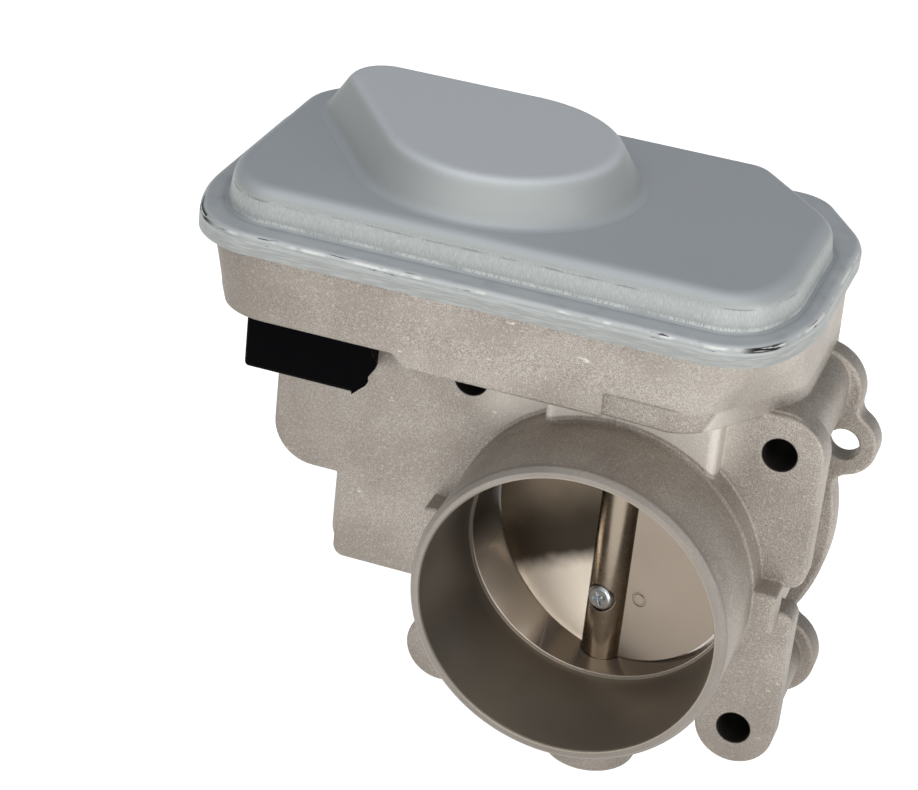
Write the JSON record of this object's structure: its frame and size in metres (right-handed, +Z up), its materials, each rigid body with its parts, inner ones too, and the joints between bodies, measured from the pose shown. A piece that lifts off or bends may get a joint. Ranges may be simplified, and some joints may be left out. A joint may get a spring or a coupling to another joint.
{
  "type": "throttle body",
  "caption": "Electronic throttle body: a cast housing with inlet tube, motor and gear tray under a pressed steel cover, with a butterfly plate on a vertical shaft.",
  "frame": {"origin": "on the bore axis, in the plane of the rear flange face that bolts to the intake manifold", "axes": "+Y along the bore from the air inlet towards the manifold, +Z up along the throttle shaft towards the gear cover, +X to the right seen from the inlet"},
  "size_m": [0.1391, 0.0908, 0.1305],
  "materials": {
    "casting": "shot-blasted die casting, satin",
    "cover_steel": "blue-grey zinc plate, satin",
    "seal_rubber": "matte",
    "shaft_steel": "ground",
    "plate_metal": "satin",
    "zinc_screw": "bright zinc",
    "bearing_steel": "bright",
    "gear_plastic": "natural nylon",
    "bronze": "sintered",
    "magnet": "ferrite, matte",
    "spring_steel": "drawn wire",
    "motor_steel": "plated",
    "zinc_plate": "zinc plate",
    "black_plastic": "moulded, glass filled",
    "contact": "tinned",
    "carbon": "carbon",
    "board": "solder mask",
    "chip": "moulded",
    "sealant": "cured sealant"
  },
  "bodies": {
    "root": {"housing": "casting", "cover": "cover_steel", "cover_seal": "seal_rubber", "upper_bearing": "bearing_steel", "lower_bearing": "bearing_steel", "shaft_seal": "seal_rubber", "lower_plug": "bearing_steel", "return_spring": "spring_steel", "idler_pin": "shaft_steel", "idler_clip": "bearing_steel", "motor_can": "motor_steel", "motor_end_cap": "black_plastic", "motor_plate": "zinc_plate", "motor_screws": "zinc_screw", "motor_terminals": "contact", "motor_brushes": "carbon", "motor_magnets": "magnet", "motor_lower_bush": "bronze", "motor_upper_bush": "bronze", "stop_screw": "zinc_screw", "lead_frame": "black_plastic", "sensor_board": "board", "sensor_chips": "chip", "board_screws": "zinc_screw", "connector_shell": "black_plastic", "connector_terminals": "contact", "connector_sealant": "sealant"},
    "throttle": {"throttle_shaft": "shaft_steel", "throttle_plate": "plate_metal", "plate_screws": "zinc_screw", "sector_gear": "gear_plastic", "gear_insert": "bronze", "retaining_washer": "bearing_steel", "magnet_holder": "gear_plastic", "sensor_magnet": "magnet"},
    "idler": {"idler_gear": "gear_plastic"},
    "motor_rotor": {"motor_shaft": "shaft_steel", "motor_armature": "motor_steel", "motor_commutator": "contact", "motor_pinion": "bronze"}
  },
  "joints": [
    {"name": "throttle_shaft_hinge", "type": "hinge", "parent": "root", "child": "throttle", "pos_m": [0, -0.0262, 0], "axis": [0, 0, -1], "range_deg": [-8, 75], "stiffness_Nm_per_rad": 0.02, "deforming": ["return_spring"]},
    {"name": "idler_gear_hinge", "type": "hinge", "parent": "root", "child": "idler", "pos_m": [-0.02638, -0.01299, 0.055], "axis": [0, 0, -1], "range_deg": [-270, 32]},
    {"name": "motor_rotor_hinge", "type": "hinge", "parent": "root", "child": "motor_rotor", "pos_m": [-0.049, -0.0224, 0.02], "axis": [0, 0, -1], "range_deg": [-100, 925]}
  ],
  "couplings": [
    {"joint": "idler_gear_hinge", "follows": "throttle_shaft_hinge", "ratio": -3.5385},
    {"joint": "motor_rotor_hinge", "follows": "throttle_shaft_hinge", "ratio": 12.224}
  ]
}
